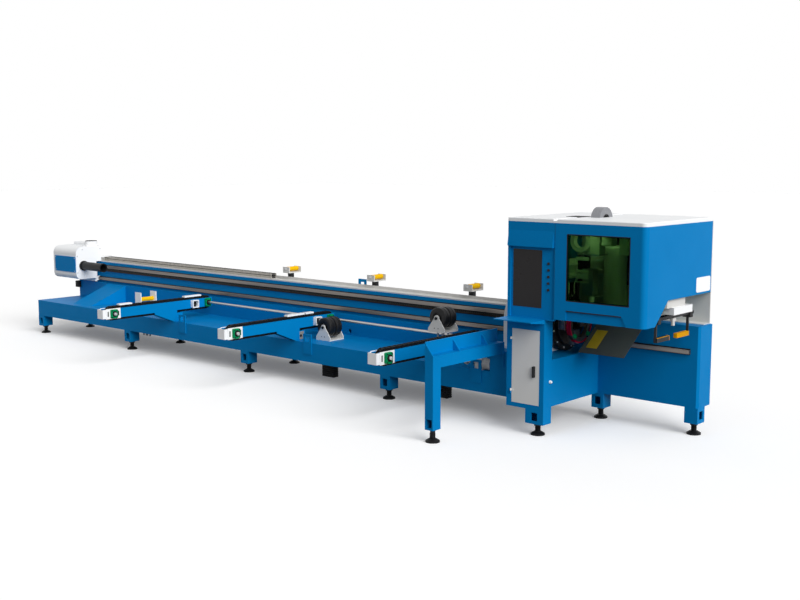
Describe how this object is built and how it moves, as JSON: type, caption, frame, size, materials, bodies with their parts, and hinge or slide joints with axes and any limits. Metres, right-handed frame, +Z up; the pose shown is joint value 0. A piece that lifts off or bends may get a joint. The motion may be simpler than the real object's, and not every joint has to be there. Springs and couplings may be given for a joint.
{
  "type": "fiber laser tube cutting machine",
  "caption": "Long-bed fiber laser tube cutter: travelling rear chuck, fixed front chuck in a blue cabin with console, chain loader arms and lifting support wheels.",
  "frame": {"origin": "on the floor, under the middle of the machine seen from above", "axes": "+X along the bed towards the cutting end, -Y towards the operator, +Z up"},
  "size_m": [9.12, 1.9748, 1.899],
  "materials": {
    "blue_paint": "satin blue powder coat",
    "white_paint": "satin white powder coat",
    "grey_paint": "satin light grey powder coat",
    "rail_steel": "ground steel",
    "black_paint": "satin black",
    "chain_steel": "oiled dark chain",
    "black_plastic": "matt black moulded plastic",
    "foot_steel": "blackened steel",
    "tyre_rubber": "matt black rubber",
    "yellow_urethane": "satin yellow urethane",
    "green_paint": "gloss green enamel",
    "finger_aluminium": "machined aluminium",
    "window_glass": "green tinted laser glass",
    "screen_glass": "dark glass front"
  },
  "bodies": {
    "machine": {"bearing_blocks": "green_paint", "bed_beam": "blue_paint", "cabin_shell": "blue_paint", "cable_trough": "grey_paint", "chuck_pedestal": "blue_paint", "console_shell": "blue_paint", "deck_plate": "blue_paint", "drag_chain": "black_plastic", "end_gate": "blue_paint", "fan_housing": "black_paint", "front_beam": "blue_paint", "front_chuck_housing": "white_paint", "gear_motor": "grey_paint", "gear_rack": "rail_steel", "gripper_body": "white_paint", "guide_rails": "rail_steel", "head_beam": "grey_paint", "keyboard_shelf": "blue_paint", "leg_blocks": "blue_paint", "levelling_feet": "foot_steel", "lift_guides": "black_plastic", "loader_beams": "blue_paint", "loader_chains": "chain_steel", "loader_end_plates": "white_paint", "rear_panel": "grey_paint", "rear_stand_forks": "white_paint", "rear_stand_posts": "black_paint", "roof_covers": "white_paint", "screen": "screen_glass", "window_glass": "window_glass"},
    "carriage": {"carriage_plate": "white_paint", "carriage_housing": "white_paint", "carriage_side_cover": "blue_paint"},
    "rear_spindle_body": {"rear_spindle": "black_paint"},
    "front_chuck": {"front_chuck_rotor": "black_paint", "front_jaws": "rail_steel"},
    "cross_slide": {"head_slide": "black_paint"},
    "cutting_head_body": {"cutting_head": "finger_aluminium"},
    "wheel_lift_1": {"wheel_1_bracket": "white_paint"},
    "support_wheel_1": {"wheel_1": "tyre_rubber"},
    "wheel_lift_2": {"wheel_2_bracket": "white_paint"},
    "support_wheel_2": {"wheel_2": "tyre_rubber"},
    "roller_lift": {"roller_lift_frame": "white_paint"},
    "lift_roller_body": {"lift_roller": "yellow_urethane"},
    "stand_roller_1": {"rear_roller_1": "yellow_urethane"},
    "stand_roller_2": {"rear_roller_2": "yellow_urethane"},
    "stand_roller_3": {"rear_roller_3": "yellow_urethane"},
    "drive_shaft_body": {"drive_shaft": "rail_steel"},
    "front_sprocket_set": {"front_sprockets": "rail_steel"},
    "door": {"cabinet_door": "grey_paint", "door_handle": "black_plastic"},
    "push_button_1": {"button_1": "black_plastic"},
    "push_button_2": {"button_2": "black_plastic"},
    "push_button_3": {"button_3": "black_plastic"},
    "push_button_4": {"button_4": "black_plastic"},
    "push_button_5": {"button_5": "black_plastic"},
    "chute": {"chute_plate": "grey_paint"},
    "front_finger": {"finger_front": "finger_aluminium"},
    "rear_finger": {"finger_rear": "finger_aluminium"},
    "fan_wheel": {"fan_impeller": "black_paint"}
  },
  "joints": [
    {"name": "carriage_slide", "type": "slide", "parent": "machine", "child": "carriage", "axis": [1, 0, 0], "range_m": [0, 5.5], "deforming": ["drag_chain"]},
    {"name": "chuck_spin", "type": "hinge", "parent": "machine", "child": "front_chuck", "pos_m": [3.43, 0.3925, 0.89], "axis": [1, 0, 0], "continuous": true},
    {"name": "rear_spindle_spin", "type": "hinge", "parent": "carriage", "child": "rear_spindle_body", "pos_m": [-3.82, 0.3925, 0.89], "axis": [1, 0, 0], "continuous": true},
    {"name": "head_y", "type": "slide", "parent": "machine", "child": "cross_slide", "axis": [0, 1, 0], "range_m": [-0.12, 0.12]},
    {"name": "head_z", "type": "slide", "parent": "cross_slide", "child": "cutting_head_body", "axis": [0, 0, 1], "range_m": [-0.03, 0.1]},
    {"name": "wheel_lift_1_slide", "type": "slide", "parent": "machine", "child": "wheel_lift_1", "axis": [0, 0, 1], "range_m": [0, 0.242]},
    {"name": "wheel_1_spin", "type": "hinge", "parent": "wheel_lift_1", "child": "support_wheel_1", "pos_m": [0.6275, 0.2905, 0.5693], "axis": [0, 1, 0], "continuous": true},
    {"name": "wheel_lift_2_slide", "type": "slide", "parent": "machine", "child": "wheel_lift_2", "axis": [0, 0, 1], "range_m": [-0.242, 0]},
    {"name": "wheel_2_spin", "type": "hinge", "parent": "wheel_lift_2", "child": "support_wheel_2", "pos_m": [2.13505, 0.2905, 0.8113], "axis": [0, 1, 0], "continuous": true},
    {"name": "roller_lift_slide", "type": "slide", "parent": "machine", "child": "roller_lift", "axis": [0, 0, 1], "range_m": [0, 0.2]},
    {"name": "lift_roller_spin", "type": "hinge", "parent": "roller_lift", "child": "lift_roller_body", "pos_m": [-2.53991, 0.2905, 0.5873], "axis": [0, 1, 0], "continuous": true},
    {"name": "stand_roller_1_spin", "type": "hinge", "parent": "machine", "child": "stand_roller_1", "pos_m": [-0.58019, 0.895, 1.044], "axis": [0, 1, 0], "continuous": true},
    {"name": "stand_roller_2_spin", "type": "hinge", "parent": "machine", "child": "stand_roller_2", "pos_m": [0.72733, 0.895, 1.044], "axis": [0, 1, 0], "continuous": true},
    {"name": "stand_roller_3_spin", "type": "hinge", "parent": "machine", "child": "stand_roller_3", "pos_m": [2.02577, 0.895, 1.044], "axis": [0, 1, 0], "continuous": true},
    {"name": "drive_shaft_spin", "type": "hinge", "parent": "machine", "child": "drive_shaft_body", "pos_m": [0.385, 0.4795, 0.612], "axis": [1, 0, 0], "continuous": true},
    {"name": "front_sprocket_spin", "type": "hinge", "parent": "machine", "child": "front_sprocket_set", "pos_m": [0.385, -0.8175, 0.612], "axis": [1, 0, 0], "continuous": true},
    {"name": "door_hinge", "type": "hinge", "parent": "machine", "child": "door", "pos_m": [3.29, -0.2235, 0.573], "axis": [0, 0, -1], "range_deg": [0, 110]},
    {"name": "button_1_press", "type": "slide", "parent": "machine", "child": "push_button_1", "axis": [0, 1, 0], "range_m": [0, 0.004], "stiffness_N_per_m": 600, "springref_m": -0.004},
    {"name": "button_2_press", "type": "slide", "parent": "machine", "child": "push_button_2", "axis": [0, 1, 0], "range_m": [0, 0.004], "stiffness_N_per_m": 600, "springref_m": -0.004},
    {"name": "button_3_press", "type": "slide", "parent": "machine", "child": "push_button_3", "axis": [0, 1, 0], "range_m": [0, 0.004], "stiffness_N_per_m": 600, "springref_m": -0.004},
    {"name": "button_4_press", "type": "slide", "parent": "machine", "child": "push_button_4", "axis": [0, 1, 0], "range_m": [0, 0.004], "stiffness_N_per_m": 600, "springref_m": -0.004},
    {"name": "button_5_press", "type": "slide", "parent": "machine", "child": "push_button_5", "axis": [0, 1, 0], "range_m": [0, 0.004], "stiffness_N_per_m": 600, "springref_m": -0.004},
    {"name": "chute_tilt", "type": "hinge", "parent": "machine", "child": "chute", "pos_m": [3.865, 0.6005, 0.905], "axis": [-1, 0, 0], "range_deg": [0, 30]},
    {"name": "finger_front_slide", "type": "slide", "parent": "machine", "child": "front_finger", "axis": [0, 1, 0], "range_m": [-0.02, 0.055]},
    {"name": "finger_rear_slide", "type": "slide", "parent": "machine", "child": "rear_finger", "axis": [0, 1, 0], "range_m": [-0.055, 0.02]},
    {"name": "fan_spin", "type": "hinge", "parent": "machine", "child": "fan_wheel", "pos_m": [3.8375, 0.2725, 1.795], "axis": [1, 0, 0], "continuous": true}
  ],
  "couplings": [
    {"joint": "rear_spindle_spin", "follows": "chuck_spin", "ratio": 1},
    {"joint": "front_sprocket_spin", "follows": "drive_shaft_spin", "ratio": 1},
    {"joint": "finger_rear_slide", "follows": "finger_front_slide", "ratio": -1}
  ]
}
